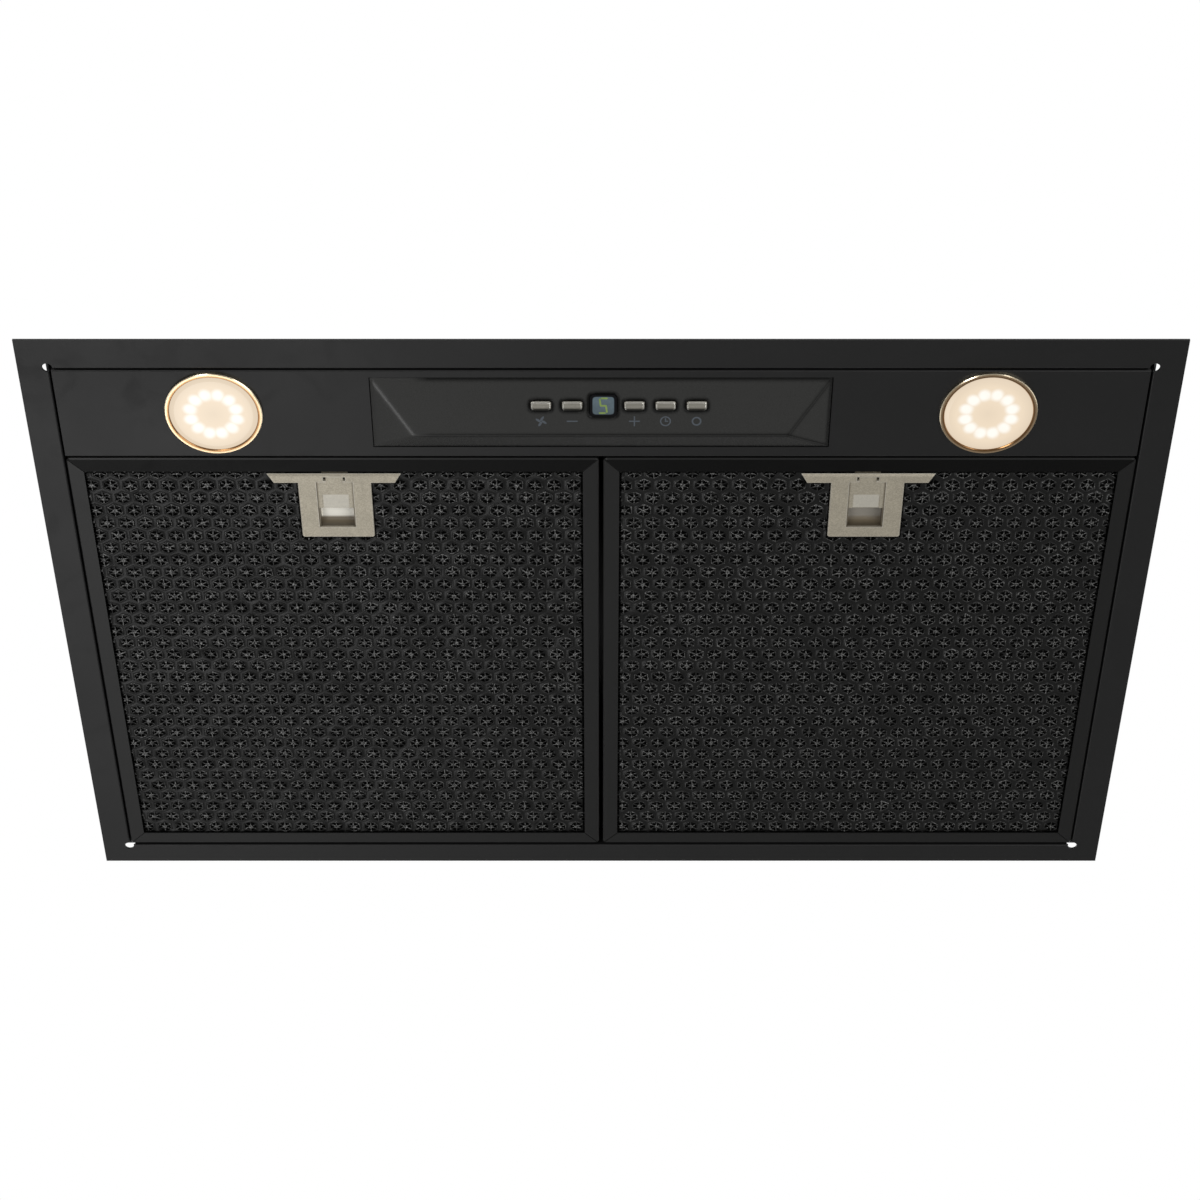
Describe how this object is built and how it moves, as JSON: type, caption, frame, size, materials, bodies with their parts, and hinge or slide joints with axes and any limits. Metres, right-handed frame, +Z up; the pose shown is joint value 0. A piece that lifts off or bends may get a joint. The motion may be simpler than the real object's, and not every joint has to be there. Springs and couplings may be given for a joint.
{
  "type": "undermount range hood",
  "caption": "Undermount range hood: flat flange, front strip with lamps and push buttons, hinged mesh grease filters with slide latches, blower casing and round duct outlet above.",
  "frame": {"origin": "centre of the flange's outline, on its upper face, which meets the cabinet's underside", "axes": "+X to the right seen from the front, -Y towards the front edge with the controls, +Z up"},
  "size_m": [0.525, 0.332, 0.2367],
  "materials": {
    "frame_paint": "fine satin charcoal paint",
    "galvanised_sheet": "galvanised sheet with a soft spangle",
    "plated_steel": "zinc plated",
    "duct_plastic": "moulded, matt",
    "fan_plastic": "moulded, matt",
    "motor_can": "pressed steel round a wound core",
    "box_plastic": "moulded, matt",
    "circuit_board": "lacquered laminate",
    "transformer_core": "lacquered laminations and coil",
    "component_plastic": "moulded, matt",
    "loom_sleeve": "braided sleeve",
    "control_plastic": "satin charcoal moulding",
    "display_pane": "smoked clear pane",
    "button_chrome": "plated, bright",
    "lamp_ring": "plated, satin",
    "lamp_diffuser": "frosted warm white",
    "lamp_sink": "cast, plain",
    "filter_frame_metal": "dark satin coating",
    "filter_mesh_metal": "dark satin coating",
    "latch_champagne": "champagne satin"
  },
  "bodies": {
    "hood": {"canopy_frame": "frame_paint", "fascia_panel": "frame_paint", "casing_front": "galvanised_sheet", "casing_back": "galvanised_sheet", "casing_left": "galvanised_sheet", "casing_right": "galvanised_sheet", "casing_lid": "galvanised_sheet", "motor_bracket": "galvanised_sheet", "lid_screws": "plated_steel", "collar_screws": "plated_steel", "damper_pin": "plated_steel", "outlet_collar": "duct_plastic", "scroll_left": "fan_plastic", "scroll_right": "fan_plastic", "motor_body": "motor_can", "electronics_box": "box_plastic", "electronics_cover": "box_plastic", "cable_gland": "box_plastic", "main_board": "circuit_board", "control_board": "circuit_board", "lamp_board_left": "circuit_board", "lamp_board_right": "circuit_board", "transformer": "transformer_core", "terminal_block": "component_plastic", "motor_capacitor": "component_plastic", "control_switches": "component_plastic", "display_module": "component_plastic", "wiring_loom": "loom_sleeve", "control_bezel": "control_plastic", "control_back_cover": "control_plastic", "display_window": "display_pane", "lamp_bezel_left": "lamp_ring", "lamp_bezel_right": "lamp_ring", "lamp_lens_left": "lamp_diffuser", "lamp_lens_right": "lamp_diffuser", "lamp_housing_left": "lamp_sink", "lamp_housing_right": "lamp_sink"},
    "filter_left": {"filter_frame_left": "filter_frame_metal", "filter_front_mesh_left": "filter_mesh_metal", "filter_core_left": "filter_mesh_metal", "filter_rear_mesh_left": "filter_mesh_metal", "latch_plate_left": "latch_champagne", "latch_spring_left": "plated_steel"},
    "filter_right": {"filter_frame_right": "filter_frame_metal", "filter_front_mesh_right": "filter_mesh_metal", "filter_core_right": "filter_mesh_metal", "filter_rear_mesh_right": "filter_mesh_metal", "latch_plate_right": "latch_champagne", "latch_spring_right": "plated_steel"},
    "latch_left": {"latch_slider_left": "latch_champagne"},
    "latch_right": {"latch_slider_right": "latch_champagne"},
    "button_fan": {"button_fan": "button_chrome"},
    "button_slower": {"button_slower": "button_chrome"},
    "button_faster": {"button_faster": "button_chrome"},
    "button_timer": {"button_timer": "button_chrome"},
    "button_light": {"button_light": "button_chrome"},
    "impeller": {"impeller": "fan_plastic", "motor_shaft": "plated_steel"},
    "flap_front": {"damper_flap_front": "duct_plastic"},
    "flap_rear": {"damper_flap_rear": "duct_plastic"}
  },
  "joints": [
    {"name": "filter_left_swing", "type": "hinge", "parent": "hood", "child": "filter_left", "pos_m": [-0.12437, 0.1537, 0], "axis": [1, 0, 0], "range_deg": [0, 60]},
    {"name": "latch_left_slide", "type": "slide", "parent": "filter_left", "child": "latch_left", "axis": [0, 1, 0], "range_m": [-0.0025, 0.0035], "stiffness_N_per_m": 300, "springref_m": -0.0045, "deforming": ["latch_spring_left"]},
    {"name": "filter_right_swing", "type": "hinge", "parent": "hood", "child": "filter_right", "pos_m": [0.12437, 0.1537, 0], "axis": [1, 0, 0], "range_deg": [0, 60]},
    {"name": "latch_right_slide", "type": "slide", "parent": "filter_right", "child": "latch_right", "axis": [0, 1, 0], "range_m": [-0.0025, 0.0035], "stiffness_N_per_m": 300, "springref_m": -0.0045, "deforming": ["latch_spring_right"]},
    {"name": "button_fan_press", "type": "slide", "parent": "hood", "child": "button_fan", "axis": [0, 0.1728, 0.985], "range_m": [0, 0.0008], "stiffness_N_per_m": 800, "springref_m": -0.0004},
    {"name": "button_slower_press", "type": "slide", "parent": "hood", "child": "button_slower", "axis": [0, 0.1728, 0.985], "range_m": [0, 0.0008], "stiffness_N_per_m": 800, "springref_m": -0.0004},
    {"name": "button_faster_press", "type": "slide", "parent": "hood", "child": "button_faster", "axis": [0, 0.1728, 0.985], "range_m": [0, 0.0008], "stiffness_N_per_m": 800, "springref_m": -0.0004},
    {"name": "button_timer_press", "type": "slide", "parent": "hood", "child": "button_timer", "axis": [0, 0.1728, 0.985], "range_m": [0, 0.0008], "stiffness_N_per_m": 800, "springref_m": -0.0004},
    {"name": "button_light_press", "type": "slide", "parent": "hood", "child": "button_light", "axis": [0, 0.1728, 0.985], "range_m": [0, 0.0008], "stiffness_N_per_m": 800, "springref_m": -0.0004},
    {"name": "impeller_spin", "type": "hinge", "parent": "hood", "child": "impeller", "pos_m": [0, 0.0116, 0.098], "axis": [1, 0, 0], "continuous": true},
    {"name": "flap_front_open", "type": "hinge", "parent": "hood", "child": "flap_front", "pos_m": [0, 0.0701, 0.1988], "axis": [-1, 0, 0], "range_deg": [0, 75]},
    {"name": "flap_rear_open", "type": "hinge", "parent": "hood", "child": "flap_rear", "pos_m": [0, 0.0701, 0.1988], "axis": [1, 0, 0], "range_deg": [0, 75]}
  ]
}
